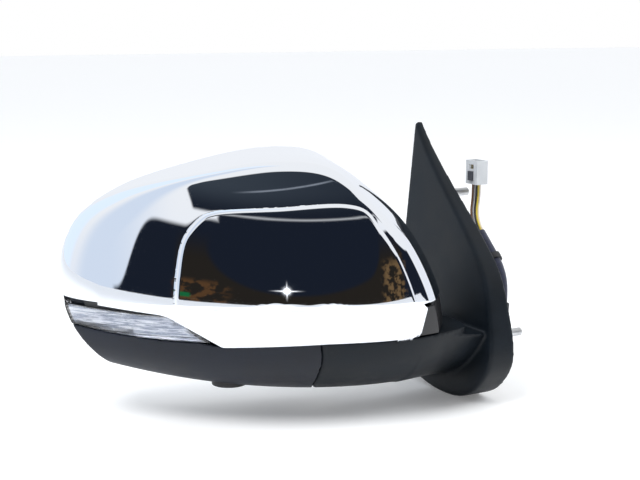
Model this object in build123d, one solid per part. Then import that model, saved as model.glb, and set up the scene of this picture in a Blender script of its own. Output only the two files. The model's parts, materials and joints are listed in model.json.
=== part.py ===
from build123d import *
import math
import os

# Power-folding door mirror for the right-hand side of a pickup, millimetres.
# Row frame: +Z up, +X inboard towards the door, +Y rearward. The origin lies on the
# door mounting face (x = 0), midway between the lower and the upper studs.
# The head is modelled in its own frame, whose Z axis is the fold axis: x outboard is
# negative, y rearward is positive, and the glass faces +y.

# Driving dimensions: the head and its fold axis
FOLD_X = -92.0
FOLD_Y = -19.0
SWEEP = 18.0
HEAD = Pos(FOLD_X, FOLD_Y, 0) * Rot(0, 0, -SWEEP)
FOLD = Pos(FOLD_X, FOLD_Y, 0)

# Head shell
WALL = 2.6
RIM_Y = 54.0
BEZEL_Y = 44.0
GAP = 0.6
NOSE_X = -17.0
NOSE_Y = -46.0
PLAN_R_OUT = 300.0
PLAN_R_IN = 120.0
VERT_R = 260.0
VERT_Z = -35.0
CREASE_Z = -9.0
BAND_Z = -33.0
BAND_TILT = 12.0
BELLY_Z = -79.0
PANEL_PROUD = 1.5

# Fold joint
ARM_TOP_Z = -34.0
ARM_TOP_R = 61.5
ARM_LOW_R = 45.5
JOINT_GAP = 1.0
POST_R = 8.5
POST_BORE_R = 5.5
POST_FOOT_Z = -50.0
POST_TOP_Z = 28.0
RUN_GAP = 0.06
GEAR_MODULE = 0.8
FOLD_GEAR_TEETH = 40
PINION_TEETH = 12
GEAR_Z = -22.0
GEAR_WIDTH = 8.0
PINION_X = -GEAR_MODULE * (FOLD_GEAR_TEETH + PINION_TEETH) / 2
WORM_WHEEL_R = 8.0
WORM_R = 2.4
WORM_Z = -8.5
WORM_Y = -(WORM_WHEEL_R + WORM_R + 0.3)

# Glass drive
PIVOT = (-92.0, 36.0, 8.0)
PLUNGER_ARM = 30.0
PLUNGER_R = 4.5
BALL_R = 3.6
ACTUATOR_R = 44.0
ACTUATOR_C = (-90.0, 10.0)
FRAME_Y = 12.0
FRAME_T = 3.0
CUP_Y = 15.0
SPLIT_Y = 22.0
LID_Y = 29.0
HOLDER_Y = 42.0
HOLDER_T = 2.5
HEATER_T = 0.5
GLASS_T = 2.2

# Base
SAIL_TOP_T = 5.5
SAIL_LOW_T = 25.5
SAIL_TOP_Z = 100.0
SAIL_LOW_Z = -96.0
SAIL_WALL = 2.6
SAIL_EDGE_R = 2.0
STUD_R = 3.0
STUD_LENGTH = 22.0
STUDS = ((-34.0, -48.0), (34.0, -48.0), (34.0, 48.0))
STUD_NECK_R = 3.4
CLIP_SEAT = 2.5


# ---------------------------------------------------------------- helpers
def block(x0, x1, y0, y1, z0, z1):
    return Pos((x0 + x1) / 2, (y0 + y1) / 2, (z0 + z1) / 2) * Box(x1 - x0, y1 - y0, z1 - z0)


def rod(radius, start, direction, length):
    return Solid.make_cylinder(radius, length, Plane(origin=start, z_dir=direction))


def tube(radius, bore, start, direction, length):
    back = Vector(*start) - Vector(*direction).normalized()
    return rod(radius, start, direction, length) - rod(bore, back, direction, length + 2)


def xz_prism(points, y0=-90.0, y1=90.0):
    corners = [Vector(x, y0, z) for x, z in points]
    outline = Polyline(corners + corners[:1])
    return extrude(make_face(outline), amount=y1 - y0, dir=(0, 1, 0))


def union(parts):
    result = parts[0]
    for part in parts[1:]:
        result = result + part
    return result


def cut(body, tools):
    for tool in tools:
        body = body - tool
    return body


def solids_of(shape):
    return Compound(children=list(shape.solids())) if len(shape.solids()) > 1 else shape.solids()[0]


def save(name, shape, place=None):
    result = solids_of(shape)
    if place is not None:
        result = place * result
    export_step(result, f"parts/{name}.step")


# ---------------------------------------------------------------- head surfaces
# Outline of the head seen from the front, from the inboard foot over the top to the tip
HEAD_OUTLINE = (
    (46, -40), (43, -12), (21, 33), (-10, 64), (-38, 81), (-75, 84), (-125, 75),
    (-175, 59), (-202, 41), (-215, 12), (-214, -18), (-196, -48), (-165, -70),
)


def plan_drop(x):
    radius = PLAN_R_OUT if x < NOSE_X else PLAN_R_IN
    return radius - math.sqrt(radius ** 2 - (x - NOSE_X) ** 2)


def vert_drop(z):
    return VERT_R - math.sqrt(VERT_R ** 2 - (z - VERT_Z) ** 2)


def face_y(x, z):
    return NOSE_Y + plan_drop(x) + vert_drop(z)


def belly_z(x):
    reach = (x + 20) / 196 if x < -20 else (x + 20) / 180
    return BELLY_Z + 29 * reach ** 2


def hull_section(x, inset, rear):
    crease_y = face_y(x, CREASE_Z) + inset
    band_y = crease_y + (CREASE_Z - BAND_Z) * math.tan(math.radians(BAND_TILT))
    low_z = belly_z(x) + inset
    low_y = band_y + 0.62 * (RIM_Y - band_y)
    top_z = 112.0
    knee_z = BAND_Z - 0.5 * (BAND_Z - low_z)
    crease = Vector(x, crease_y, CREASE_Z)
    band = Vector(x, band_y, BAND_Z)
    top = Vector(x, face_y(x, top_z) + inset, top_z)
    rear_low = Vector(x, rear, low_z + 6)
    low = Vector(x, low_y, low_z)
    return Wire([
        ThreePointArc(crease, Vector(x, face_y(x, 50) + inset, 50), top),
        Line(top, Vector(x, rear, top_z)),
        Line(Vector(x, rear, top_z), rear_low),
        Line(rear_low, low),
        Bezier(low, Vector(x, low_y - 0.45 * (low_y - band_y), low_z), Vector(x, band_y + 4, knee_z), band),
        Line(band, crease),
    ])


def hull(inset=0.0, rear=RIM_Y):
    stations = (-232, -190, -140, -90, -45, 0, 45, 95)
    return Solid.make_loft([hull_section(x, inset, rear) for x in stations])


def wall_section(y, inboard, raise_top, foot, heel, inset):
    points = []
    last = len(HEAD_OUTLINE) - 1
    for i, (x, z) in enumerate(HEAD_OUTLINE):
        ax, az = HEAD_OUTLINE[max(i - 1, 0)]
        bx, bz = HEAD_OUTLINE[min(i + 1, last)]
        length = math.hypot(bx - ax, bz - az)
        nx, nz = -(bz - az) / length, (bx - ax) / length
        side = max(0, min(1, (x + 60) / 60))
        upper = max(0, min(1, (z - 20) / 40))
        points.append(Vector(x + inboard * side + inset * nx, y, z + raise_top * upper + inset * nz))
    foot_point = Vector(foot[0], y, foot[1] + inset)
    heel_point = Vector(min(heel[0], points[0].X - 1), y, heel[1] + inset)
    return Wire([
        Spline(points),
        Line(points[-1], foot_point),
        Line(foot_point, heel_point),
        Line(heel_point, points[0]),
    ])


def walls(inset=0.0):
    return Solid.make_loft([
        wall_section(-75, -30, -11, (-120, -100), (46, -100), inset),
        wall_section(0, 0, 0, (-120, -100), (40, -100), inset),
        wall_section(RIM_Y, -7, 4, (-62, -84), (-28, -41), inset),
        wall_section(RIM_Y + 20, -10, 5.5, (-50, -80), (-24, -41), inset),
    ], True)


def head_solid(inset=0.0, rear=RIM_Y):
    return hull(inset, rear) & walls(inset)


# ---------------------------------------------------------------- head shell regions
# Lower edge of the chrome cap, from the tip inboard, then up the inboard flank
CAP_EDGE = (
    (-240, -8.5), (-192, -10.8), (-153, -14.2), (-147, -15.7), (-113, -35.6),
    (-45, -33.0), (13, -32.6), (19, -30.0), (22.5, -12.0), (60, -9.0),
)
LENS_TOP = ((-240, -13.5), (-196, -15.0), (-170, -16.4), (-149.5, -16.9), (-121, -33.6))
LENS_LOW = ((-128, -33.2), (-159, -32.6), (-188, -30.2), (-204, -28.0), (-240, -24.0))
PANEL = (
    (-143, -9.0), (-141, 12), (-136, 35), (-127, 47), (-119, 52), (-74, 55.5),
    (-32, 57), (-18.5, 53), (-10, 42), (1, 24), (8, 8), (14, -9.0),
)
POD_X = -103.0
POD_Y = 22.0
POD_R = 12.5
POD_LOW_Z = -74.5
POD_HEIGHT = 12.5
LAMP_REAR_Y = 22.0


def fold_clearance():
    height = ARM_TOP_Z + 1 - BELLY_Z
    low = ARM_LOW_R + JOINT_GAP
    high = ARM_TOP_R + JOINT_GAP
    slope = (high - low) / height
    cone = Pos(0, 0, ARM_TOP_Z + 1 - (height + 10) / 2) * Cone(low - 10 * slope, high, height + 10)
    rear = block(-36, 90, 0, 90, -120, ARM_TOP_Z + 1)
    front = block(0, 90, -90, 0, -120, ARM_TOP_Z + 1)
    return [cone, rear, front]


def cap_region():
    return xz_prism(CAP_EDGE + ((60, 120), (-240, 120)), -90, BEZEL_Y - GAP / 2)


def lens_region():
    return xz_prism(LENS_TOP + LENS_LOW, -90, BEZEL_Y - GAP / 2)


def make_shell():
    outer = head_solid()
    inner = head_solid(WALL, RIM_Y + 15)
    return outer, inner, cut(outer - inner, fold_clearance())


def chrome_cap(shell, inner):
    panel = (hull(-PANEL_PROUD) & xz_prism(PANEL, -90, 0)) - inner
    return (shell & cap_region()) + (panel & cap_region())


def indicator_lens(shell):
    return shell & lens_region()


def indicator_housing():
    tray_region = xz_prism([(-240, -6), (-130, -10), (-124, -34), (-240, -40)], -90, LAMP_REAR_Y)
    deep = head_solid(WALL + 9, RIM_Y + 15)
    front = head_solid(WALL + 0.3, RIM_Y + 10)
    pocket = head_solid(WALL + 7.4, RIM_Y + 15)
    ledge = xz_prism([(-240, -13.2), (-150, -16.5), (-126, -31), (-240, -31)], -90, LAMP_REAR_Y)
    opening = front - pocket
    return ((front - deep) & tray_region) - (opening & ledge)


def lower_skirt(shell):
    tip = [(x, z - GAP) for x, z in reversed(LENS_LOW)]
    cap = [(x, z - GAP) for x, z in CAP_EDGE[4:7]]
    region = xz_prism(tip + cap + [(60, -33.6), (60, -120), (-240, -120)], -90, BEZEL_Y - GAP / 2)
    skirt = shell & region
    return skirt - rod(POD_R + 0.3, (POD_X, POD_Y, POD_LOW_Z - 5), (0, 0, 1), 40)


def camera_pod():
    body = rod(POD_R, (POD_X, POD_Y, POD_LOW_Z), (0, 0, 1), POD_HEIGHT)
    body = body - rod(7.1, (POD_X, POD_Y, POD_LOW_Z - 1), (0, 0, 1), 5)
    return body - rod(9.5, (POD_X, POD_Y, POD_LOW_Z + 6), (0, 0, 1), 12)


def camera_lens():
    barrel = rod(7.0, (POD_X, POD_Y, POD_LOW_Z + 0.6), (0, 0, 1), 3.4)
    return barrel - rod(4.0, (POD_X, POD_Y, POD_LOW_Z), (0, 0, 1), 1.6)


def camera_glass():
    return rod(3.9, (POD_X, POD_Y, POD_LOW_Z + 0.9), (0, 0, 1), 0.7)


def rear_bezel(shell, outer):
    ring = shell & block(-260, 90, BEZEL_Y + GAP / 2, RIM_Y, -120, 120)
    side = shell & xz_prism([(23.2, -12.6), (60, -9.6), (60, -32.6), (20, -32.6)], -90, BEZEL_Y + 1)
    lip_outer = head_solid(WALL - 0.4, RIM_Y)
    lip_inner = head_solid(WALL + 2.6, RIM_Y + 15)
    lip = (lip_outer - lip_inner) & block(-260, 90, RIM_Y - 2.4, RIM_Y, -120, 120)
    lip = cut(lip, fold_clearance())
    sill_points = [(-62, -120), (-62, -76), (-36, -41), (-36, -32.9), (60, -32.9), (60, -30.4),
                   (-37.4, -30.4), (-38.5, -38), (-64.5, -74), (-64.5, -120)]
    sill = (outer & xz_prism(sill_points, BEZEL_Y - 6, RIM_Y)) - shell
    sill = cut(sill, fold_clearance())
    return ring + side + lip + sill


# ---------------------------------------------------------------- head inside
def rounded_outline(points, y, depth):
    corners = [Vector(x, y, z) for x, z in points]
    return extrude(make_face(Spline(corners, periodic=True)), amount=depth, dir=(0, 1, 0))


GLASS_OUTLINE = (
    (22, -9), (11, 28), (-14, 54), (-41, 70), (-82, 74), (-129, 65), (-168, 51), (-190.5, 33),
    (-200, 8), (-197, -21), (-183, -43), (-154, -54), (-112, -59), (-83, -57.5), (-66, -46),
    (-50, -28), (-28, -21.5), (6, -21), (18, -18),
)


def case_region(x0, x1, y0, y1, z0, z1, drum_r, drum_z1):
    return block(x0, x1, y0, y1, z0, z1) + rod(drum_r, (0, 0, z0), (0, 0, 1), drum_z1 - z0)


CASE_X = -66.0
CASE_Y0 = -23.0
CASE_Y1 = 11.0
CASE_FLOOR_Z = -28.0
CASE_SPLIT_Z = -3.0
CASE_TOP_Z = 4.5
DRUM_R = 19.8
DRUM_TOP_Z = 24.0
CASE_WALL = 2.0
EARS = ((-69.0, -19.0), (-69.0, 7.0), (14.5, -19.0))


def fold_case_lower():
    case = case_region(CASE_X, 0, CASE_Y0, CASE_Y1, CASE_FLOOR_Z, CASE_SPLIT_Z, DRUM_R, CASE_SPLIT_Z)
    neck = rod(15.0, (0, 0, ARM_TOP_Z - 1.7), (0, 0, 1), CASE_FLOOR_Z - ARM_TOP_Z + 1.7)
    room = case_region(CASE_X + CASE_WALL, 0, CASE_Y0 + CASE_WALL, CASE_Y1 - CASE_WALL,
                       CASE_FLOOR_Z + 3, CASE_SPLIT_Z + 1, DRUM_R - CASE_WALL, CASE_SPLIT_Z + 1)
    ears = [rod(4.0, (x, y, CASE_SPLIT_Z - 6), (0, 0, 1), 6) for x, y in EARS]
    bridges = [block(min(x, 0.5 * x), max(x, 0.5 * x), y - 2, y + 2, CASE_SPLIT_Z - 6, CASE_SPLIT_Z)
               for x, y in EARS]
    bore = rod(POST_R + RUN_GAP, (0, 0, -60), (0, 0, 1), 60)
    screws = [rod(1.6, (x, y, -40), (0, 0, 1), 60) for x, y in EARS]
    axle = rod(2.0 + RUN_GAP, (PINION_X, 0, CASE_FLOOR_Z + 1.4), (0, 0, 1), 10)
    can = rod(9.4, (-64, WORM_Y, WORM_Z), (1, 0, 0), 28)
    cradles = [block(x, x + 2, CASE_Y0 + 1, -1, CASE_FLOOR_Z + 2, WORM_Z) - can for x in (-59, -42)]
    return union([cut(union([case, neck] + ears + bridges) - room, [bore, axle] + screws)] + cradles)


def fold_case_cover():
    case = case_region(CASE_X, 0, CASE_Y0, CASE_Y1, CASE_SPLIT_Z, CASE_TOP_Z, DRUM_R, DRUM_TOP_Z)
    room = case_region(CASE_X + CASE_WALL, 0, CASE_Y0 + CASE_WALL, CASE_Y1 - CASE_WALL,
                       CASE_SPLIT_Z - 1, CASE_TOP_Z - CASE_WALL, DRUM_R - CASE_WALL, DRUM_TOP_Z - CASE_WALL)
    ears = [rod(4.0, (x, y, CASE_SPLIT_Z), (0, 0, 1), 4) for x, y in EARS]
    bridges = [block(min(x, 0.5 * x), max(x, 0.5 * x), y - 2, y + 2, CASE_SPLIT_Z, CASE_SPLIT_Z + 4)
               for x, y in EARS]
    bore = rod(POST_R + RUN_GAP, (0, 0, 0), (0, 0, 1), 60)
    screws = [rod(1.6, (x, y, -40), (0, 0, 1), 60) for x, y in EARS]
    return cut(union([case] + ears + bridges) - room, [bore] + screws)


def case_screws():
    bodies = []
    for x, y in EARS:
        head = rod(2.8, (x, y, CASE_SPLIT_Z + 4), (0, 0, 1), 2.2)
        slot = block(x - 3, x + 3, y - 0.4, y + 0.4, CASE_SPLIT_Z + 5.4, CASE_SPLIT_Z + 7)
        shank = rod(1.55, (x, y, CASE_SPLIT_Z - 6), (0, 0, 1), 10)
        bodies.append((head + shank) - slot)
    return Compound(children=[body.solids()[0] for body in bodies])


def spur_gear(teeth, z0, width, bore, x=0.0, phase=0.0):
    pitch_r = GEAR_MODULE * teeth / 2
    root = Solid.make_cylinder(pitch_r - 1.15 * GEAR_MODULE, width, Plane(origin=(x, 0, z0)))
    half_root = 0.44 * math.pi * GEAR_MODULE / 2
    half_tip = 0.14 * math.pi * GEAR_MODULE / 2
    wheel = root
    for i in range(teeth):
        angle = phase + 360 * i / teeth
        corners = [(pitch_r - 1.3 * GEAR_MODULE, -1.25 * half_root), (pitch_r, -half_root),
                   (pitch_r + 0.9 * GEAR_MODULE, -half_tip), (pitch_r + 0.9 * GEAR_MODULE, half_tip),
                   (pitch_r, half_root), (pitch_r - 1.3 * GEAR_MODULE, 1.25 * half_root)]
        outline = Polyline([Vector(a, b, 0) for a, b in corners + corners[:1]])
        tooth = extrude(make_face(outline), amount=width, dir=(0, 0, 1))
        wheel = wheel + Pos(x, 0, z0) * Rot(0, 0, angle) * tooth
    return wheel - rod(bore, (x, 0, z0 - 1), (0, 0, 1), width + 2)


def fold_gear():
    return spur_gear(FOLD_GEAR_TEETH, GEAR_Z, GEAR_WIDTH, POST_R, phase=180 / FOLD_GEAR_TEETH)


def final_pinion():
    pinion = spur_gear(PINION_TEETH, GEAR_Z, GEAR_WIDTH, 1.0, x=PINION_X)
    shaft = rod(2.0, (PINION_X, 0, CASE_FLOOR_Z + 1.5), (0, 0, 1), 21)
    wheel = rod(WORM_WHEEL_R, (PINION_X, 0, WORM_Z - 2), (0, 0, 1), 4)
    return pinion + shaft + wheel


def fold_worm():
    shaft = rod(1.2, (-37.0, WORM_Y, WORM_Z), (1, 0, 0), 23)
    thread = rod(WORM_R - 0.8, (-31.0, WORM_Y, WORM_Z), (1, 0, 0), 14)
    rings = [rod(WORM_R, (-30.4 + 1.6 * i, WORM_Y, WORM_Z), (1, 0, 0), 0.8) for i in range(8)]
    return union([shaft, thread] + rings)


def fold_motor():
    can = rod(9.4, (-62.5, WORM_Y, WORM_Z), (1, 0, 0), 25)
    nose = rod(4.0, (-37.5, WORM_Y, WORM_Z), (1, 0, 0), 3)
    return can + nose - rod(1.2 + RUN_GAP, (-37.5, WORM_Y, WORM_Z), (1, 0, 0), 4)


def head_frame():
    slab = head_solid(WALL + 0.9, RIM_Y + 15) & block(-260, 90, FRAME_Y, FRAME_Y + FRAME_T, -120, 120)
    fold_window = block(-76, 22, 0, 60, -30.1, 34)
    lamp_window = xz_prism([(-240, 0), (-118, -4), (-118, -45), (-240, -45)], 0, 60)
    lower_cut = block(-66, 90, 0, 60, -120, -33.1)
    pod_cut = block(POD_X - 16, POD_X + 16, 0, 60, -120, -56)
    windows = [block(-180, -142, 0, 60, 12, 42), block(-60, -20, 0, 60, 44, 66)]
    floor = head_solid(WALL + 0.9, RIM_Y + 15) & block(-70, 90, -60, 27, -33.1, -30.1)
    pads = block(-70, 22, CASE_Y0 - 4, FRAME_Y + 1, -30.1, CASE_FLOOR_Z)
    plate = cut(slab, [fold_window, lamp_window, lower_cut, pod_cut] + windows)
    boss_places = ((-135, 34), (-60, 60), (-125, -2))
    bosses = [rod(4.0, (x, -20, z), (0, 1, 0), FRAME_Y + 20) for x, z in boss_places]
    mounts = [rod(3.6, (x, FRAME_Y + FRAME_T, z), (0, -1, 0), 3.6) for x, z in actuator_screw_points()]
    holes = [rod(1.6, (x, 0, z), (0, 1, 0), 40) for x, z in actuator_screw_points()]
    inside = head_solid(WALL + 0.9, RIM_Y + 15)
    frame = union([plate, floor, pads] + mounts) + (union(bosses) & inside)
    neck_hole = rod(15.4, (0, 0, -60), (0, 0, 1), 60 + CASE_FLOOR_Z)
    return cut(frame, holes + [neck_hole])


def indicator_leds():
    bodies = []
    for x in (-184.0, -172.0, -160.0, -148.0):
        y = face_y(x, -23.0) + WALL + 8.0
        bodies.append(block(x - 2.5, x + 2.5, y, y + 1.6, -25.0, -21.0))
    return bodies


# ---------------------------------------------------------------- glass drive
def actuator_screw_points():
    cx, cz = ACTUATOR_C
    angles = [math.radians(a) for a in (190, 285, 48)]
    return [(cx + 37 * math.cos(a), cz + 37 * math.sin(a)) for a in angles]


PITCH_PLUNGER = (PIVOT[0], PIVOT[2] + PLUNGER_ARM)
YAW_PLUNGER = (PIVOT[0] + PLUNGER_ARM, PIVOT[2])
NUT_R = 11.0
NUT_Y = 18.0
NUT_W = 3.6
TILT_WORM_R = 2.0
TILT_WORM_D = NUT_R + TILT_WORM_R + 0.3
TILT_MOTOR_R = 3.3
CUP_FLOOR = 1.4


def actuator_cup():
    cx, cz = ACTUATOR_C
    cup = rod(ACTUATOR_R, (cx, CUP_Y, cz), (0, 1, 0), SPLIT_Y - CUP_Y)
    cup = cup - rod(ACTUATOR_R - 2.2, (cx, CUP_Y + CUP_FLOOR, cz), (0, 1, 0), 20)
    posts = [rod(3.4, (x, CUP_Y, z), (0, 1, 0), SPLIT_Y - CUP_Y) for x, z in actuator_screw_points()]
    pins = [tube(6.4, PLUNGER_R + RUN_GAP, (x, CUP_Y + 1.0, z), (0, 1, 0), 1.9) for x, z in
            (PITCH_PLUNGER, YAW_PLUNGER)]
    holes = [rod(1.6, (x, 0, z), (0, 1, 0), 60) for x, z in actuator_screw_points()]
    plunger_holes = [rod(PLUNGER_R + RUN_GAP, (x, CUP_Y + 0.8, z), (0, 1, 0), 6) for x, z in
                     (PITCH_PLUNGER, YAW_PLUNGER)]
    return cut(union([cup] + posts + pins), holes + plunger_holes)


def actuator_lid():
    cx, cz = ACTUATOR_C
    px, py, pz = PIVOT
    lid = rod(ACTUATOR_R, (cx, SPLIT_Y, cz), (0, 1, 0), LID_Y - SPLIT_Y)
    lid = lid - rod(ACTUATOR_R - 2.2, (cx, SPLIT_Y - 1, cz), (0, 1, 0), LID_Y - SPLIT_Y - 1.2)
    posts = [rod(3.4, (x, SPLIT_Y, z), (0, 1, 0), LID_Y - SPLIT_Y) for x, z in actuator_screw_points()]
    lugs = [block(px + x - 1.5, px + x + 1.5, LID_Y - 1, py + 3.2, pz - 3.4, pz + 3.4) for x in (-8.5, 8.5)]
    holes = [rod(1.6, (x, 0, z), (0, 1, 0), 60) for x, z in actuator_screw_points()]
    guides = [rod(PLUNGER_R + RUN_GAP, (x, 10, z), (0, 1, 0), 30) for x, z in (PITCH_PLUNGER, YAW_PLUNGER)]
    journal = rod(1.5 + 0.05, (px - 20, py, pz), (1, 0, 0), 40)
    return cut(union([lid] + posts + lugs), holes + guides + [journal])


def actuator_screws():
    bodies = []
    for x, z in actuator_screw_points():
        head = rod(3.0, (x, LID_Y, z), (0, 1, 0), 2.0)
        shank = rod(1.55, (x, FRAME_Y - 0.5, z), (0, 1, 0), LID_Y - FRAME_Y + 0.5)
        slot = block(x - 3.2, x + 3.2, LID_Y + 1.2, LID_Y + 3, z - 0.4, z + 0.4)
        bodies.append((head + shank) - slot)
    return Compound(children=[body.solids()[0] for body in bodies])


def pivot_cross():
    px, py, pz = PIVOT
    hub = block(px - 3, px + 3, py - 2.2, py + 2.2, pz - 3, pz + 3)
    return hub + rod(1.5, (px - 10, py, pz), (1, 0, 0), 20) + rod(1.5, (px, py, pz - 10), (0, 0, 1), 20)


def plunger(x, z):
    body = rod(PLUNGER_R, (x, CUP_Y + 5.2, z), (0, 1, 0), 11.6)
    neck = rod(2.2, (x, CUP_Y + 16.8, z), (0, 1, 0), PIVOT[1] - CUP_Y - 16.8)
    return body + neck + Pos(x, PIVOT[1], z) * Sphere(BALL_R)


def drive_nut(x, z):
    nut = tube(NUT_R - 0.6, PLUNGER_R + RUN_GAP, (x, NUT_Y, z), (0, 1, 0), NUT_W)
    teeth = [Pos(x, NUT_Y + NUT_W / 2, z) * Rot(0, i * 12, 0) * Pos(NUT_R - 0.6, 0, 0)
             * Box(1.2, NUT_W, 0.9) for i in range(30)]
    return union([nut] + teeth)


def tilt_worm(start, direction):
    rings = []
    axis = Vector(*direction)
    for i in range(5):
        place = Vector(*start) + axis * (3.4 + 1.6 * i)
        rings.append(rod(TILT_WORM_R, place, direction, 0.8))
    core = rod(TILT_WORM_R - 0.6, (Vector(*start) + axis * 3.0), direction, 8.6)
    return union([rod(0.9, start, direction, 14), core] + rings)


def tilt_motor(start, direction):
    reach = Vector(*direction) * -1
    can = rod(TILT_MOTOR_R, start, reach, 17)
    return can - rod(0.9 + RUN_GAP, (Vector(*start) + reach * 3), direction, 4)


PITCH_WORM_START = (PITCH_PLUNGER[0] - 8.0, NUT_Y + NUT_W / 2, PITCH_PLUNGER[1] - TILT_WORM_D)
YAW_WORM_START = (YAW_PLUNGER[0] - TILT_WORM_D, NUT_Y + NUT_W / 2, YAW_PLUNGER[1] - 8.0)


def glass_holder():
    px, py, pz = PIVOT
    plate = rounded_outline(GLASS_OUTLINE, HOLDER_Y, HOLDER_T)
    lugs = [block(px - 3.4, px + 3.4, py - 3.2, HOLDER_Y + 1, pz + s * 8.5 - 1.5, pz + s * 8.5 + 1.5)
            for s in (-1, 1)]
    cups = [tube(6.8, BALL_R + 0.8, (x, py - 0.6, z), (0, 1, 0), HOLDER_Y - py + 0.6) for x, z in
            (PITCH_PLUNGER, YAW_PLUNGER)]
    rib = block(px - 60, px + 60, HOLDER_Y - 1.6, HOLDER_Y, pz - 26.8, pz - 25.2)
    journal = rod(1.5 + 0.05, (px, py, pz - 20), (0, 0, 1), 40)
    return union([plate, rib] + lugs + cups) - journal


def heater_pad():
    inset = [(0.96 * x - 3.3, 0.95 * z) for x, z in GLASS_OUTLINE]
    return rounded_outline(inset, HOLDER_Y + HOLDER_T, HEATER_T)


def mirror_glass():
    return rounded_outline(GLASS_OUTLINE, HOLDER_Y + HOLDER_T + HEATER_T, GLASS_T)


# ---------------------------------------------------------------- base
# Outline of the sail in the door plane: rear edge, apex, front edge, lower lobe
SAIL_FRONT = (
    (64.5, 100), (59.0, 93), (23.5, 57), (-16.3, 21.5), (-39.5, -6), (-48.0, -27), (-53.7, -47),
    (-54.5, -63), (-46.5, -78), (-36.0, -88), (-20, -94.5), (0, -96), (25, -93), (50, -85),
)
SAIL_REAR_Y = 67.5
ROOT_X = -18.0


def sail_x(z):
    share = (SAIL_TOP_Z - z) / (SAIL_TOP_Z - SAIL_LOW_Z)
    return -(SAIL_TOP_T + share * (SAIL_LOW_T - SAIL_TOP_T))


def shifted(points, distance):
    result = []
    last = len(points) - 1
    for i, (y, z) in enumerate(points):
        ay, az = points[max(i - 1, 0)]
        by, bz = points[min(i + 1, last)]
        length = math.hypot(by - ay, bz - az)
        result.append((y - distance * (bz - az) / length, z + distance * (by - ay) / length))
    return result


def clipped(points, limit_y):
    i = next(i for i, (y, z) in enumerate(points) if y < limit_y)
    (ay, az), (by, bz) = points[i - 1], points[i]
    share = (limit_y - by) / (ay - by)
    return [(limit_y, bz + share * (az - bz))] + [p for p in points[i:] if p[0] < limit_y]


def sail_face(inset=0.0):
    rear_y = SAIL_REAR_Y - inset
    edge = shifted(SAIL_FRONT, inset)
    if inset > 0:
        edge = clipped(edge, rear_y - 2)
    front = [Vector(0, y, z) for y, z in edge]
    low = Vector(0, rear_y, -66)
    heel = ThreePointArc(front[-1], Vector(0, rear_y - 3.5, -77 + inset), low)
    if inset > 0:
        top = Vector(0, rear_y, front[0].Z)
        apex = Line(top, front[0])
    else:
        top = Vector(0, rear_y, front[0].Z - 3)
        apex = ThreePointArc(top, Vector(0, rear_y - 0.8, front[0].Z - 0.4), front[0])
    return make_face(Wire([Line(low, top), apex, Spline(front), heel]))


def sail_wedge(inset):
    high, low = 130.0, -130.0
    corners = [(0.5, low), (sail_x(low) + inset, low), (sail_x(high) + inset, high), (0.5, high)]
    points = [Vector(x, -120, z) for x, z in corners]
    return extrude(make_face(Polyline(points + points[:1])), amount=240, dir=(0, 1, 0))


def sail_outer():
    body = extrude(sail_face(), amount=40, dir=(-1, 0, 0)) & sail_wedge(0)
    centres = [(edge, edge.center()) for edge in body.edges()]
    rim = [edge for edge, at in centres if at.X < -3 and abs(at.X - sail_x(at.Z)) < 1.5]
    return fillet(rim, SAIL_EDGE_R)


def sail_inner():
    return extrude(Pos(1, 0, 0) * sail_face(SAIL_WALL), amount=40, dir=(-1, 0, 0)) & sail_wedge(SAIL_WALL)


def arm_drum(inset):
    top_z = ARM_TOP_Z - inset
    low_z = BELLY_Z - 4
    height = top_z - low_z
    slope = (ARM_TOP_R - ARM_LOW_R) / (ARM_TOP_Z - BELLY_Z)
    low_r = ARM_LOW_R - 4 * slope - inset
    cone = Pos(0, 0, (top_z + low_z) / 2) * Cone(low_r, low_r + height * slope, height)
    return HEAD * (cone & hull(inset, RIM_Y + 20))


def arm_section(x, top_front, top_rear, low_rear, belly):
    points = [Vector(x, y, z) for y, z in (low_rear, *belly, top_front)]
    top = Vector(x, *top_front)
    rear = Vector(x, *top_rear)
    return Wire([Line(top, rear), Line(rear, points[0]), Spline(points)])


def arm_bridge(inset):
    head_end = arm_section(FOLD_X + 14, (-56.5 + inset, ARM_TOP_Z - inset), (30 - inset, ARM_TOP_Z - inset),
                           (21.5 - inset, BELLY_Z + 1 + inset),
                           ((0, BELLY_Z + inset), (-22, -75 + inset), (-42 + inset, -62 + inset)))
    root = arm_section(ROOT_X + 10 + inset, (-46 + 1.6 * inset, -43 - inset), (18 - inset, -42 - inset),
                       (18.5 - inset, -89.5 + inset),
                       ((-8, -78 + 1.2 * inset), (-26.5 + 0.7 * inset, -66 + inset),
                        (-39 + inset, -52.5 + inset)))
    return Solid.make_loft([head_end, root], True)


def base_cover():
    outer = sail_outer() + arm_drum(0) + arm_bridge(0)
    inner = union([sail_inner(), arm_drum(SAIL_WALL), arm_bridge(SAIL_WALL)])
    top_hole = FOLD * rod(18.0, (0, 0, -45), (0, 0, 1), 20)
    drain = FOLD * rod(3.0, (30, 10, -90), (0, 0, 1), 20)
    return (outer - inner) - top_hole - drain - block(0, 60, -120, 120, -140, 140)


PLATE = ((-44, -60), (-34, -74), (44, -76), (54, -60), (54, 64), (46, 68), (34, 54), (-26, -4), (-41, -34))
PLATE_T = 5.0
GROMMET_Y = -32.0
GROMMET_Z = -31.0
GROMMET_R = 6.0
GROMMET_FLANGE_R = 9.0


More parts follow.
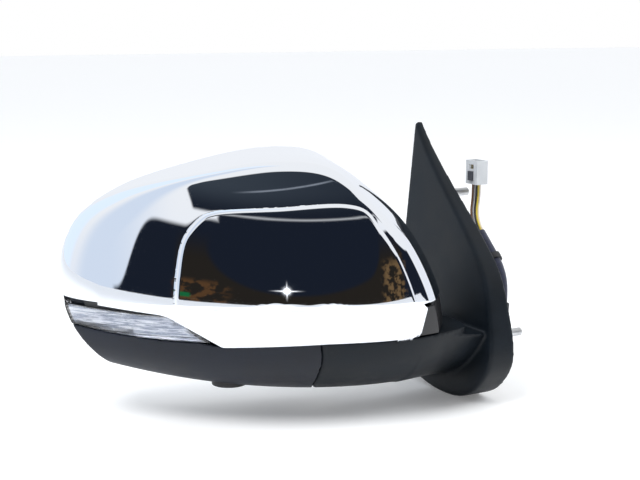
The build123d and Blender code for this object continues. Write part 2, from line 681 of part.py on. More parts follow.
def base_casting():
    corners = [Vector(0, y, z) for y, z in PLATE]
    plate = extrude(make_face(Polyline(corners + corners[:1])), amount=PLATE_T, dir=(-1, 0, 0))
    beam = block(FOLD_X, -PLATE_T, -12, 12, -69, -50)
    disc = FOLD * rod(22.0, (0, 0, -56.5), (0, 0, 1), 6.5)
    foot = block(-16, -PLATE_T, -14, 14, -71, -47)
    stud_holes = [rod(STUD_NECK_R, (-30, y, z), (1, 0, 0), 40) for y, z in STUDS]
    loom_hole = rod(GROMMET_R, (-20, GROMMET_Y, GROMMET_Z), (1, 0, 0), 40)
    grommet_seat = rod(GROMMET_FLANGE_R, (-CLIP_SEAT, GROMMET_Y, GROMMET_Z), (1, 0, 0), 10)
    clip_seat = block(-CLIP_SEAT, 1, *loom_clip_foot())
    window = block(-20, 1, 4, 38, -16, 26)
    post_hole = FOLD * rod(POST_BORE_R, (0, 0, -70), (0, 0, 1), 30)
    screw_holes = [FOLD * rod(2.0, (x, y, -70), (0, 0, 1), 30) for x, y in post_screw_points()]
    channel = block(FOLD_X - 5, -PLATE_T - 11, -4, 4, -70, -62)
    holes = [clip_seat, grommet_seat, loom_hole, window, post_hole, channel]
    return cut(union([plate, beam, disc, foot]), stud_holes + holes + screw_holes)


def post_screw_points():
    return [(13.0 * math.cos(math.radians(a)), 13.0 * math.sin(math.radians(a))) for a in (30, 150, 270)]


def pivot_post():
    flange = rod(17.5, (0, 0, POST_FOOT_Z), (0, 0, 1), 4)
    shaft = rod(POST_R, (0, 0, POST_FOOT_Z), (0, 0, 1), POST_TOP_Z - POST_FOOT_Z)
    bore = rod(POST_BORE_R, (0, 0, POST_FOOT_Z - 1), (0, 0, 1), 100)
    holes = [rod(2.0, (x, y, -70), (0, 0, 1), 40) for x, y in post_screw_points()]
    return cut(flange + shaft, [bore] + holes)


def post_screws():
    bodies = []
    for x, y in post_screw_points():
        head = rod(3.4, (x, y, POST_FOOT_Z + 4), (0, 0, 1), 2.6)
        socket = rod(1.6, (x, y, POST_FOOT_Z + 5), (0, 0, 1), 3)
        shank = rod(1.95, (x, y, POST_FOOT_Z - 10), (0, 0, 1), 14)
        bodies.append((head + shank) - socket)
    return Compound(children=[body.solids()[0] for body in bodies])


def detent_ring():
    ring = tube(12.6, POST_R, (0, 0, POST_FOOT_Z + 6.6), (0, 0, 1), 7.3)
    notch = block(8, 14, -1.2, 1.2, POST_FOOT_Z + 12.6, POST_FOOT_Z + 16)
    notches = [Rot(0, 0, a) * notch for a in (0, 90, 180, 270)]
    return cut(ring, notches)


def clutch_spring():
    helix = Helix(pitch=4.4, height=26.4, radius=10.4)
    wire = sweep(Plane(helix @ 0, z_dir=helix % 0) * Circle(1.0), path=helix)
    return Pos(0, 0, GEAR_Z + GEAR_WIDTH + 1.0) * wire


def spring_retainer():
    washer = tube(12.0, POST_R, (0, 0, 14.6), (0, 0, 1), 2.4)
    notches = [Rot(0, 0, a) * block(11, 14, -1.5, 1.5, 14, 18) for a in (0, 120, 240)]
    return cut(washer, notches)


def mounting_studs():
    bodies = []
    for y, z in STUDS:
        neck = rod(STUD_NECK_R, (-PLATE_T, y, z), (1, 0, 0), PLATE_T)
        shank = rod(STUD_R, (0, y, z), (1, 0, 0), STUD_LENGTH - 1)
        tip = Pos(STUD_LENGTH - 0.5, y, z) * Rot(0, 90, 0) * Cone(STUD_R, STUD_R - 1, 1)
        collar = rod(5.5, (-PLATE_T - 2.2, y, z), (1, 0, 0), 2.2)
        bodies.append(neck + shank + tip + collar)
    return Compound(children=[body.solids()[0] for body in bodies])


def sail_gasket():
    outer = extrude(sail_face(SAIL_WALL + 0.3), amount=2.5, dir=(-1, 0, 0))
    inner = extrude(Pos(1, 0, 0) * sail_face(SAIL_WALL + 3.3), amount=5, dir=(-1, 0, 0))
    return outer - inner


# ---------------------------------------------------------------- wiring
LOOM_D = 8.0
LOOM_ROUTE = ((7, -30, -26), (11, -26, -15), (14, -17, -2), (15, -4, 9), (15, 8, 20))
INNER_LOOM_R = 2.5
INNER_ROUTE = ((-5, -32, -31), (-12, -32, -31), (-13.5, -27, -44), (-24, -20, -57),
               (-46, -19, -65.5), (-70, -19, -67), (-92, -19, -67), (-92, -19, 27))
WIRE_D = 1.5
WIRES = ("brown", "grey", "black", "yellow", "white")
CONNECTOR = (17.0, 27.0, 16.0, 30.0, 55.0, 73.0)


def cord_path(points, name):
    corners = [Vector(*p) for p in points]
    radii = []
    for a, b, c in zip(corners, corners[1:], corners[2:]):
        turn = (b - a).get_angle(c - b)
        radii.append(0.45 * min((b - a).length, (c - b).length) / math.tan(math.radians(turn / 2)))
    print(name, "arc radii", [round(r, 1) for r in radii])
    return FilletPolyline(*corners, radius=radii)


def cord_tube(points, diameter, name):
    path = cord_path(points, name)
    profile = Plane(path @ 0, z_dir=path % 0) * Circle(diameter / 2)
    body = sweep(profile, path=path)
    plain = math.pi * diameter ** 2 / 4 * path.length
    print(name, "length", round(path.length, 1), "volume ratio", round(body.volume / plain, 3))
    return body


def wire_route(index):
    side = (index - 2) * 1.7
    x0, y0, z0 = LOOM_ROUTE[-1]
    cx = (CONNECTOR[0] + CONNECTOR[1]) / 2
    start = Vector(x0 + side, y0, z0)
    leave = start + (Vector(*LOOM_ROUTE[-1]) - Vector(*LOOM_ROUTE[-2])).normalized() * 7.5
    return (start, leave, (x0 + 3.2 + side, y0 + 12, z0 + 15), (cx + side, y0 + 15, z0 + 24.5),
            (cx + side, y0 + 15, CONNECTOR[4]))


def loom_direction():
    return (Vector(*LOOM_ROUTE[1]) - Vector(*LOOM_ROUTE[0])).normalized()


def grommet():
    d = loom_direction()
    end = Vector(*LOOM_ROUTE[0])
    neck = rod(5.6, (end - d * 8), d, 8)
    flange = rod(GROMMET_FLANGE_R, (-CLIP_SEAT, GROMMET_Y, GROMMET_Z), (1, 0, 0), CLIP_SEAT)
    plug = rod(GROMMET_R, (-PLATE_T, GROMMET_Y, GROMMET_Z), (1, 0, 0), PLATE_T)
    return flange + plug + (neck & block(-1, 40, -80, 80, -80, 80))


def loom_clip_foot():
    a, b = Vector(*LOOM_ROUTE[2]), Vector(*LOOM_ROUTE[3])
    middle = (a + b) * 0.5
    return middle.Y - 2.5, middle.Y + 2.5, middle.Z - 2.5, middle.Z + 2.5


def loom_clip():
    a, b = Vector(*LOOM_ROUTE[2]), Vector(*LOOM_ROUTE[3])
    d = (b - a).normalized()
    middle = (a + b) * 0.5
    ring = rod(5.4, (middle - d * 2.5), d, 5)
    foot = block(-CLIP_SEAT, middle.X, *loom_clip_foot())
    return (ring + foot) - rod(LOOM_D / 2 + 0.35, (middle - d * 12), d, 24)


def connector_housing():
    x0, x1, y0, y1, z0, z1 = CONNECTOR
    body = block(*CONNECTOR)
    pocket = block(x0 + 1.2, x1 - 1.2, y0 + 1.2, y1 - 1.2, z1 - 8, z1 + 1)
    window = block(x0 - 1, x0 + 2, y0 + 4, y1 - 4, z1 - 6.5, z1 - 3)
    return cut(body, [pocket, window])


def connector_latch():
    x0, x1, y0, y1, z0, z1 = CONNECTOR
    return block(x0 - 1.8, x0, y0 + 4.5, y1 - 4.5, z0 + 3, z1 - 8)


def connector_terminals():
    x0, x1, y0, y1, z0, z1 = CONNECTOR
    places = [(x, y) for x in (x0 + 3.2, x1 - 3.2) for y in (y0 + 3.5, (y0 + y1) / 2, y1 - 3.5)]
    return Compound(children=[block(x - 0.4, x + 0.4, y - 0.4, y + 0.4, z1 - 8, z1 - 2) for x, y in places])


# ---------------------------------------------------------------- build
def build_head():
    outer, inner, shell = make_shell()
    save("chrome_cap", chrome_cap(shell, inner), HEAD)
    save("indicator_lens", indicator_lens(shell), HEAD)
    save("indicator_housing", indicator_housing(), HEAD)
    save("indicator_leds", Compound(children=indicator_leds()), HEAD)
    save("lower_skirt", lower_skirt(shell), HEAD)
    save("rear_bezel", rear_bezel(shell, outer), HEAD)
    save("camera_pod", camera_pod(), HEAD)
    save("camera_lens_barrel", camera_lens(), HEAD)
    save("camera_glass", camera_glass(), HEAD)
    save("head_frame", head_frame(), HEAD)
    save("fold_case_lower", fold_case_lower(), HEAD)
    save("fold_case_cover", fold_case_cover(), HEAD)
    save("fold_case_screws", case_screws(), HEAD)
    save("fold_motor", fold_motor(), HEAD)
    save("fold_worm", fold_worm(), HEAD)
    save("final_pinion", final_pinion(), HEAD)
    save("actuator_cup", actuator_cup(), HEAD)
    save("actuator_lid", actuator_lid(), HEAD)
    save("actuator_screws", actuator_screws(), HEAD)


def build_glass_drive():
    save("pivot_cross", pivot_cross(), HEAD)
    save("pitch_plunger", plunger(*PITCH_PLUNGER), HEAD)
    save("yaw_plunger", plunger(*YAW_PLUNGER), HEAD)
    save("pitch_nut", drive_nut(*PITCH_PLUNGER), HEAD)
    save("yaw_nut", drive_nut(*YAW_PLUNGER), HEAD)
    save("pitch_worm", tilt_worm(PITCH_WORM_START, (1, 0, 0)), HEAD)
    save("yaw_worm", tilt_worm(YAW_WORM_START, (0, 0, 1)), HEAD)
    save("pitch_motor", tilt_motor((PITCH_WORM_START[0] + 2, *PITCH_WORM_START[1:]), (1, 0, 0)), HEAD)
    save("yaw_motor", tilt_motor((*YAW_WORM_START[:2], YAW_WORM_START[2] + 2), (0, 0, 1)), HEAD)
    save("glass_holder", glass_holder(), HEAD)
    save("heater_pad", heater_pad(), HEAD)
    save("mirror_glass", mirror_glass(), HEAD)


def build_base():
    save("base_cover", base_cover())
    save("base_casting", base_casting())
    save("sail_gasket", sail_gasket())
    save("mounting_studs", mounting_studs())
    save("pivot_post", pivot_post(), FOLD)
    save("post_screws", post_screws(), FOLD)
    save("detent_ring", detent_ring(), FOLD)
    save("fold_gear", fold_gear(), HEAD)
    save("clutch_spring", clutch_spring(), FOLD)
    save("spring_retainer", spring_retainer(), FOLD)


def build_wiring():
    save("grommet", grommet())
    save("inner_loom", cord_tube(INNER_ROUTE, 2 * INNER_LOOM_R, "inner_loom"))
    save("harness_loom", cord_tube(LOOM_ROUTE, LOOM_D, "harness_loom"))
    for index, colour in enumerate(WIRES):
        save(f"wire_{colour}", cord_tube(wire_route(index), WIRE_D, f"wire_{colour}"))
    save("loom_clip", loom_clip())
    save("connector_housing", connector_housing())
    save("connector_latch", connector_latch())
    save("connector_terminals", connector_terminals())


if __name__ == "__main__":
    os.makedirs("parts", exist_ok=True)
    build_base()
    build_wiring()
    build_glass_drive()
    build_head()
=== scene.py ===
import json
import math

import bmesh
import bpy
import numpy as np
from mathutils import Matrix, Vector


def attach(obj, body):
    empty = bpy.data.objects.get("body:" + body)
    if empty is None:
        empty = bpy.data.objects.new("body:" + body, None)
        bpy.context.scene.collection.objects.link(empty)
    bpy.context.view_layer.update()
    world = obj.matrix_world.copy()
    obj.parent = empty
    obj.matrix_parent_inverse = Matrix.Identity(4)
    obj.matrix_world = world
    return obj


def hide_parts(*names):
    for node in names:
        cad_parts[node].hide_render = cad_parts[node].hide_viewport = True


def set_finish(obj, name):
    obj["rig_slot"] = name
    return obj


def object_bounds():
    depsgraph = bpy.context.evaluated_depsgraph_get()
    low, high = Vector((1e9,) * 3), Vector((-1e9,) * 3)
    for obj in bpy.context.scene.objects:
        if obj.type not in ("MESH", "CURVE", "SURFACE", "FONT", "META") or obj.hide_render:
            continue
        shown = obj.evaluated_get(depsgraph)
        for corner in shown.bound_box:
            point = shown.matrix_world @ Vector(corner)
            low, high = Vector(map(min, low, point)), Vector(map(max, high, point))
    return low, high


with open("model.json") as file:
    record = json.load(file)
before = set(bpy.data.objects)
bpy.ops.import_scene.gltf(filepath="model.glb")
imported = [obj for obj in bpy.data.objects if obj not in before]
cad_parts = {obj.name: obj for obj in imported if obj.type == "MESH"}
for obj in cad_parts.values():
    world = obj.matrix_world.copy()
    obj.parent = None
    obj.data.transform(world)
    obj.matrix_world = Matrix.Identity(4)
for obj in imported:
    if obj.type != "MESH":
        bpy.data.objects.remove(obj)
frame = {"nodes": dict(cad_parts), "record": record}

NODES = frame["nodes"]
SCENE = bpy.context.scene
CAD_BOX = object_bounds()
MM = 0.001
# the fold axis in the row frame, in mm, and the head's sweep about it
FOLD_X, FOLD_Y, SWEEP = -92.0, -19.0, math.radians(18.0)


# ------------------------------------------------------------------ camera
TARGET = Vector((-0.12319, 0.00990, 0.02624))
DISTANCE = 0.870
AZIMUTH = -30.0
ELEVATION = 10.0
FOCAL_MM = 70.0
SENSOR_MM = 36.0


def direction(azimuth, elevation):
    a, e = math.radians(azimuth), math.radians(elevation)
    return Vector((math.sin(a) * math.cos(e), -math.cos(a) * math.cos(e), math.sin(e)))


def linked(name, data):
    obj = bpy.data.objects.new(name, data)
    SCENE.collection.objects.link(obj)
    return obj


def shade_smooth(mesh):
    mesh.polygons.foreach_set("use_smooth", [True] * len(mesh.polygons))


def make_camera():
    data = bpy.data.cameras.new("camera")
    data.lens = FOCAL_MM
    data.sensor_width = SENSOR_MM
    data.clip_start = 0.01
    camera = linked("camera", data)
    back = direction(AZIMUTH, ELEVATION)
    camera.location = TARGET + back * DISTANCE
    camera.rotation_euler = (-back).to_track_quat("-Z", "Y").to_euler()
    SCENE.camera = camera


# ------------------------------------------------------------------ cords
LOOM_ROUTE = ((0.007, -0.030, -0.026), (0.011, -0.026, -0.015), (0.014, -0.017, -0.002),
              (0.015, -0.004, 0.009), (0.015, 0.008, 0.020))
LOOM_D = 0.008
WIRES = ("brown", "grey", "black", "yellow", "white")
WIRE_D = 0.0015
WIRE_PITCH = 0.0017
WIRE_ROUTE = ((0.015, 0.008, 0.020), (0.015, 0.013072, 0.025579), (0.0182, 0.020, 0.035),
              (0.022, 0.023, 0.0445), (0.022, 0.023, 0.055))


def nurbs(name, points, radius):
    curve = bpy.data.curves.new(name, "CURVE")
    curve.dimensions = "3D"
    spline = curve.splines.new("NURBS")
    spline.points.add(len(points) - 1)
    for point, place in zip(spline.points, points):
        point.co = (*place, 1.0)
        point.radius = radius
    spline.order_u = 3
    spline.use_endpoint_u = True
    spline.resolution_u = 16
    curve.bevel_depth = 1.0
    curve.bevel_resolution = 6
    curve.use_fill_caps = True
    return linked(name, curve)


def make_cords():
    loom = nurbs("loom_sleeve", LOOM_ROUTE, LOOM_D / 2)
    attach(loom, "base")
    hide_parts("harness_loom")
    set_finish(loom, "loom")
    for index, colour in enumerate(WIRES):
        side = (index - len(WIRES) // 2) * WIRE_PITCH
        route = [(x + side, y, z) for x, y, z in WIRE_ROUTE]
        wire = nurbs(f"lead_{colour}", route, WIRE_D / 2)
        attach(wire, "base")
        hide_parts(f"wire_{colour}")
        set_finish(wire, f"wire_{colour}")


# ------------------------------------------------------------------ materials
class Shader:
    """A small builder for a node tree, so that each material reads as a recipe."""

    def __init__(self, tree):
        self.tree = tree
        self.tree.nodes.clear()

    def node(self, kind, **values):
        made = self.tree.nodes.new(kind)
        for name, value in values.items():
            setattr(made, name, value)
        return made

    def put(self, socket, value):
        if isinstance(value, bpy.types.NodeSocket):
            self.tree.links.new(value, socket)
        else:
            socket.default_value = value

    def math(self, operation, a, b=0.0):
        made = self.node("ShaderNodeMath", operation=operation)
        self.put(made.inputs[0], a)
        self.put(made.inputs[1], b)
        return made.outputs[0]

    def ramp(self, value, low, high, start=0.0, end=1.0):
        """value from low..high to start..end with soft ends."""
        made = self.node("ShaderNodeMapRange", interpolation_type="SMOOTHSTEP")
        for socket, number in zip(made.inputs, (value, low, high, start, end)):
            self.put(socket, number)
        return made.outputs[0]

    def mix(self, factor, a, b):
        """Colour a to colour b; 6, 7 and 2 are the Mix node's colour sockets."""
        made = self.node("ShaderNodeMix", data_type="RGBA")
        self.put(made.inputs[0], factor)
        self.put(made.inputs[6], a)
        self.put(made.inputs[7], b)
        return made.outputs[2]

    def place(self, scale=(1, 1, 1)):
        where = self.node("ShaderNodeTexCoord").outputs["Object"]
        made = self.node("ShaderNodeMapping")
        self.put(made.inputs["Vector"], where)
        made.inputs["Scale"].default_value = scale
        return made.outputs[0]

    def noise(self, where, scale, detail=3.0, rough=0.5):
        made = self.node("ShaderNodeTexNoise")
        self.put(made.inputs["Vector"], where)
        made.inputs["Scale"].default_value = scale
        made.inputs["Detail"].default_value = detail
        made.inputs["Roughness"].default_value = rough
        return made.outputs["Fac"]

    def voronoi(self, where, scale):
        made = self.node("ShaderNodeTexVoronoi")
        self.put(made.inputs["Vector"], where)
        made.inputs["Scale"].default_value = scale
        return made.outputs["Distance"]

    def bump(self, height, distance, strength=1.0):
        made = self.node("ShaderNodeBump")
        self.put(made.inputs["Height"], height)
        made.inputs["Distance"].default_value = distance
        made.inputs["Strength"].default_value = strength
        return made.outputs[0]

    def surface(self, **values):
        made = self.node("ShaderNodeBsdfPrincipled")
        for name, value in values.items():
            self.put(made.inputs[name.replace("_", " ")], value)
        out = self.node("ShaderNodeOutputMaterial")
        self.put(out.inputs["Surface"], made.outputs[0])
        return made


def rgb(r, g, b):
    return (r, g, b, 1.0)


def tinted(colour, factor):
    return tuple(min(1.0, c * factor) for c in colour[:3]) + (1.0,)


def new_material(name):
    material = bpy.data.materials.new(name)
    material.use_nodes = True
    return material, Shader(material.node_tree)


def moulded(name, colour, rough=0.5, grain=0.00045, depth=0.00003, vary=0.25, specular=0.5):
    """Injection moulded plastic: leather-like grain, cloudy tone, worn gloss patches and dust."""
    material, s = new_material(name)
    where = s.place()
    cloud = s.noise(where, 28.0, 4.0, 0.6)
    fine = s.noise(where, 900.0, 2.0, 0.6)
    cells = s.voronoi(where, 1.0 / grain)
    dust = s.ramp(s.noise(where, 2600.0, 1.0), 0.70, 0.80)
    tone = s.mix(s.ramp(cloud, 0.3, 0.7), tinted(colour, 1 - vary), tinted(colour, 1 + vary))
    base = s.mix(s.math("MULTIPLY", dust, 0.25), tone, rgb(0.16, 0.16, 0.16))
    gloss = s.ramp(cloud, 0.35, 0.65, -0.06, 0.06)
    roughness = s.math("ADD", s.math("ADD", gloss, rough - 0.04), s.math("MULTIPLY", fine, 0.08))
    height = s.math("ADD", s.math("MULTIPLY", cells, 0.7), s.math("MULTIPLY", fine, 0.3))
    s.surface(Base_Color=base, Roughness=roughness, Normal=s.bump(height, depth),
              Specular_IOR_Level=specular)
    return material


def metal(name, colour, rough=0.3, along=(1, 1, 1), depth=0.00001, scale=500.0):
    """Machined or cast metal: directional scratches, uneven gloss and faint stains."""
    material, s = new_material(name)
    scratches = s.noise(s.place(along), scale, 5.0, 0.65)
    stain = s.noise(s.place(), 60.0, 3.0, 0.6)
    base = s.mix(s.ramp(stain, 0.4, 0.7), colour, tinted(colour, 0.72))
    roughness = s.math("ADD", s.math("MULTIPLY", scratches, 0.22), rough - 0.1)
    s.surface(Base_Color=base, Metallic=1.0, Roughness=roughness, Normal=s.bump(scratches, depth))
    return material


def plated(name, colour):
    """Bright plating: faint orange peel, hairline wipe marks and a few dust specks."""
    material, s = new_material(name)
    where = s.place()
    peel = s.noise(where, 55.0, 1.0, 0.4)
    wipe = s.noise(s.place((14, 60, 300)), 3.0, 4.0, 0.7)
    dust = s.ramp(s.noise(where, 1500.0, 1.0), 0.74, 0.82)
    roughness = s.math("ADD", s.math("MULTIPLY", s.ramp(wipe, 0.5, 0.8), 0.035), 0.022)
    roughness = s.math("ADD", roughness, s.math("MULTIPLY", dust, 0.12))
    base = s.mix(s.math("MULTIPLY", dust, 0.3), colour, rgb(0.55, 0.55, 0.56))
    s.surface(Base_Color=base, Metallic=1.0, Roughness=roughness, Normal=s.bump(peel, 0.00002, 0.25))
    return material


def clear(name, colour, rough=0.03, flute=0.0):
    """Clear plastic or glass, with flutes where their pitch is given."""
    material, s = new_material(name)
    where = s.place()
    speck = s.noise(where, 700.0, 2.0)
    made = s.surface(Base_Color=colour, Roughness=s.math("ADD", s.math("MULTIPLY", speck, 0.05), rough),
                     Transmission_Weight=1.0, IOR=1.5)
    if flute:
        split = s.node("ShaderNodeSeparateXYZ")
        s.put(split.inputs[0], where)
        wave = s.math("SINE", s.math("MULTIPLY", split.outputs[2], 2 * math.pi / flute))
        s.put(made.inputs["Normal"], s.bump(wave, 0.00011))
    return material


def lamp_body(name):
    """Lamp housing: a tray with fine facets whose colour carries painted reflections, streaks of dark
    blue-grey and white, and painted black shade above the lens top where the gap to the cap lies.
    """
    material, s = new_material(name)
    split = s.node("ShaderNodeSeparateXYZ")
    s.put(split.inputs[0], s.place())
    x, y, z = split.outputs
    turn_x, turn_y = math.cos(SWEEP), math.sin(SWEEP)
    # out is the head frame's x, in metres
    out = s.math("SUBTRACT", s.math("MULTIPLY", x, turn_x), s.math("MULTIPLY", y, turn_y))
    out = s.math("ADD", out, (FOLD_Y * turn_y - FOLD_X * turn_x) * MM)
    outer_edge = s.ramp(out, -0.240, -0.150, -0.0135, -0.0170)
    inner_drop = s.ramp(out, -0.149, -0.121, 0.0, -0.0166)
    lens_top = s.math("ADD", outer_edge, inner_drop)
    # painted shade: black, non-metal colour above the lens top, standing in for the dark gap between lens
    # and cap
    painted_gap_shade = s.ramp(s.math("SUBTRACT", z, lens_top), -0.0004, 0.0002)
    # the streak noise gives real facets through bump and roughness, and painted reflections through the
    # colour: dark blue-grey and white streaks
    facet_and_reflection_streak = s.noise(s.place((45, 45, 900)), 1.0, 4.0, 0.65)
    painted_streak_reflection = s.mix(s.ramp(facet_and_reflection_streak, 0.40, 0.60), rgb(0.26, 0.30, 0.40), rgb(0.93, 0.95, 1.0))
    s.surface(Base_Color=s.mix(painted_gap_shade, painted_streak_reflection, rgb(0.006, 0.007, 0.009)),
              Metallic=s.ramp(painted_gap_shade, 0.0, 1.0, 0.75, 0.0),
              Roughness=s.ramp(facet_and_reflection_streak, 0.3, 0.7, 0.30, 0.48), Normal=s.bump(facet_and_reflection_streak, 0.00010))
    return material


def braided(name, colour, pitch):
    """Wrapped tape or sleeve: a spiral lap and fine cloth weave."""
    material, s = new_material(name)
    where = s.place()
    weave = s.voronoi(s.place((1, 1, 1.6)), 1.0 / pitch)
    fray = s.noise(where, 1600.0, 3.0)
    base = s.mix(s.ramp(weave, 0.1, 0.7), tinted(colour, 1.5), tinted(colour, 0.6))
    s.surface(Base_Color=base, Roughness=s.math("ADD", s.math("MULTIPLY", fray, 0.2), 0.4),
              Normal=s.bump(weave, 0.00012), Sheen_Weight=0.25)
    return material


def mirror_material(name):
    """First-quality mirror: bluish silver with a faint film of dust."""
    material, s = new_material(name)
    film = s.ramp(s.noise(s.place(), 40.0, 4.0, 0.7), 0.45, 0.8)
    base = s.mix(s.math("MULTIPLY", film, 0.3), rgb(0.80, 0.84, 0.88), rgb(0.70, 0.73, 0.76))
    s.surface(Base_Color=base, Metallic=1.0,
              Roughness=s.math("ADD", s.math("MULTIPLY", film, 0.04), 0.01))
    return material


def wire_material(name, colour):
    return moulded(name, colour, 0.38, 0.0009, 0.00001, 0.12)


MATERIALS = {
    "chrome": plated("chrome_plate", rgb(0.83, 0.86, 0.91)),
    "shell_black": moulded("shell_plastic", rgb(0.007, 0.010, 0.018), 0.40, 0.0005, 0.00003, specular=0.28),
    "base_black": moulded("base_plastic", rgb(0.0045, 0.0075, 0.0115),
                          0.46, 0.0006, 0.00004, specular=0.22),
    "frame_plastic": moulded("frame_plastic", rgb(0.02, 0.02, 0.022), 0.55),
    "bezel_black": moulded("bezel_plastic", rgb(0.012, 0.012, 0.014), 0.42, 0.0005),
    "lens_clear": clear("lens_clear", rgb(0.97, 0.98, 1.0), 0.03, 0.0024),
    "reflector": lamp_body("lamp_body"),
    "led": moulded("led_resin", rgb(0.82, 0.80, 0.68), 0.25),
    "mirror": mirror_material("mirror_silver"),
    "heater": moulded("heater_film", rgb(0.25, 0.12, 0.05), 0.4),
    "holder": moulded("holder_plastic", rgb(0.022, 0.022, 0.024), 0.5),
    "housing_grey": moulded("housing_plastic", rgb(0.03, 0.032, 0.035), 0.5),
    "motor_steel": metal("motor_steel", rgb(0.62, 0.62, 0.60), 0.32, (1, 1, 8)),
    "gear_white": moulded("gear_nylon", rgb(0.74, 0.73, 0.68), 0.4, 0.0009),
    "steel": metal("plated_steel", rgb(0.66, 0.65, 0.60), 0.28, (1, 8, 8)),
    "spring_steel": metal("spring_steel", rgb(0.45, 0.46, 0.48), 0.3),
    "zinc": metal("zinc_casting", rgb(0.58, 0.59, 0.60), 0.42, (1, 1, 1), 0.00005, 900.0),
    "casting": metal("alloy_casting", rgb(0.42, 0.43, 0.44), 0.52, (1, 1, 1), 0.00009, 700.0),
    "foam": moulded("gasket_foam", rgb(0.035, 0.035, 0.036), 0.85, 0.0009, 0.00025),
    "rubber": moulded("rubber", rgb(0.016, 0.016, 0.017), 0.6, 0.0012, 0.00004),
    "camera_glass": clear("camera_glass", rgb(0.55, 0.6, 0.7), 0.01),
    "loom": braided("loom_sleeve", rgb(0.012, 0.016, 0.045), 0.0011),
    "wire_brown": wire_material("wire_brown", rgb(0.10, 0.045, 0.02)),
    "wire_grey": wire_material("wire_grey", rgb(0.26, 0.26, 0.27)),
    "wire_black": wire_material("wire_black", rgb(0.015, 0.015, 0.016)),
    "wire_yellow": wire_material("wire_yellow", rgb(0.62, 0.48, 0.06)),
    "wire_white": wire_material("wire_white", rgb(0.72, 0.66, 0.60)),
    "connector": moulded("connector_nylon", rgb(0.60, 0.62, 0.64), 0.42, 0.0008, 0.00002, 0.1),
    "latch_grey": moulded("latch_nylon", rgb(0.06, 0.065, 0.08), 0.4, 0.0008),
    "brass": metal("tinned_brass", rgb(0.72, 0.62, 0.38), 0.25),
}


def dress(obj, slot):
    obj.data.materials.clear()
    obj.data.materials.append(MATERIALS[slot])


def dress_nodes():
    for part in frame["record"]["subparts"]:
        dress(NODES[part["node"]], part["material_slot"])


# ------------------------------------------------------------------ head surfaces (head frame, mm)
CREASE_Z = -9.0
CREASE_SOFT = 1.4
RIM = 43.7
FACE_Y = -46.0
FACE_BEND_X = -17.0
FACE_R_OUTER, FACE_R_INNER, FACE_R_TALL = 300.0, 120.0, 260.0
FACE_LEVEL_Z = -35.0
BAND_SLOPE = math.tan(math.radians(12.0))
BAND_REAR_Y = 12.0
WALL_FRONT_Y, WALL_REAR_Y = -75.0, 54.0
CREASE_MID_X, CHORD_X, CHORD_SPAN = -64.0, -38.0, 54.0
PANEL_DEPTH, PANEL_FADE, PANEL_CREASE_FADE = 1.5, 2.0, 1.7
FILL_ROWS, LEDGE_ROWS, SHOULDER_ROWS, WALL_ROWS = 26, 25, 14, 21
CAP_WALL, CAP_BEVEL, WELD_DISTANCE = 0.0024, 0.0003, 0.00002
HEAD_OUTLINE = np.array((
    (46, -40), (43, -12), (21, 33), (-10, 64), (-38, 81), (-75, 84), (-125, 75),
    (-175, 59), (-202, 41), (-215, 12), (-214, -18), (-196, -48), (-165, -70)), float)
PANEL = np.array((
    (14, -9), (8, 8), (1, 24), (-10, 42), (-18.5, 53), (-32, 57), (-74, 55.5),
    (-119, 52), (-127, 47), (-136, 35), (-141, 12), (-143, -9)), float)
CAP_EDGE = np.array(((-240, -8.5), (-192, -10.8), (-153, -14.2), (-147, -15.7), (-113, -35.6),
                     (-45, -33.0), (13, -32.6), (19, -30.0), (24, -29.0)), float)


def to_row(points):
    """Head frame millimetres to the row frame in metres."""
    points = np.asarray(points, float)
    c, s = math.cos(SWEEP), math.sin(SWEEP)
    x, y, z = points[..., 0], points[..., 1], points[..., 2]
    return np.stack((FOLD_X + c * x + s * y, FOLD_Y - s * x + c * y, z), -1) * MM


def face_y(x, z):
    """The front face: an arc in plan, tighter inboard, and a wide arc from top to bottom."""
    radius = np.where(x < FACE_BEND_X, FACE_R_OUTER, FACE_R_INNER)
    plan = radius - np.sqrt(radius ** 2 - (x - FACE_BEND_X) ** 2)
    return FACE_Y + plan + FACE_R_TALL - np.sqrt(FACE_R_TALL ** 2 - (z - FACE_LEVEL_Z) ** 2)


def smooth(t):
    t = np.clip(t, 0.0, 1.0)
    return t * t * (3 - 2 * t)


def dense_curve(points, per_span=60):
    """A smooth curve through the points."""
    ends = np.vstack((2 * points[0] - points[1], points, 2 * points[-1] - points[-2]))
    out = []
    for i in range(len(points) - 1):
        p0, p1, p2, p3 = ends[i:i + 4]
        d1 = max(np.linalg.norm(p1 - p0), 1e-6) ** 0.5
        d2 = max(np.linalg.norm(p2 - p1), 1e-6) ** 0.5
        d3 = max(np.linalg.norm(p3 - p2), 1e-6) ** 0.5
        m1 = (p1 - p0) / d1 - (p2 - p0) / (d1 + d2) + (p2 - p1) / d2
        m2 = (p2 - p1) / d2 - (p3 - p1) / (d2 + d3) + (p3 - p2) / d3
        t = np.linspace(0, 1, per_span, endpoint=False)[:, None]
        h1 = (1 + 2 * t) * (1 - t) ** 2
        h2 = t * (1 - t) ** 2 * d2
        h3 = t * t * (3 - 2 * t)
        h4 = t * t * (t - 1) * d2
        out.append(h1 * p1 + h2 * m1 + h3 * p2 + h4 * m2)
    out.append(points[-1:])
    return np.vstack(out)


def wall_sections():
    """The wall's outline at its front, middle and rear depths, on matching points."""
    x, z = HEAD_OUTLINE[:, 0], HEAD_OUTLINE[:, 1]
    side = np.clip((x + 60) / 60, 0, 1)
    upper = np.clip((z - 20) / 40, 0, 1)
    shifts = ((-30, -11), (0, 0), (-7, 4))
    return [dense_curve(np.stack((x + a * side, z + b * upper), -1)) for a, b in shifts]


def past(y, width=12.0):
    """max(y, 0) with its corner rounded."""
    return np.where(y > width, y, np.where(y < -width, 0.0, (y + width) ** 2 / (4 * width)))


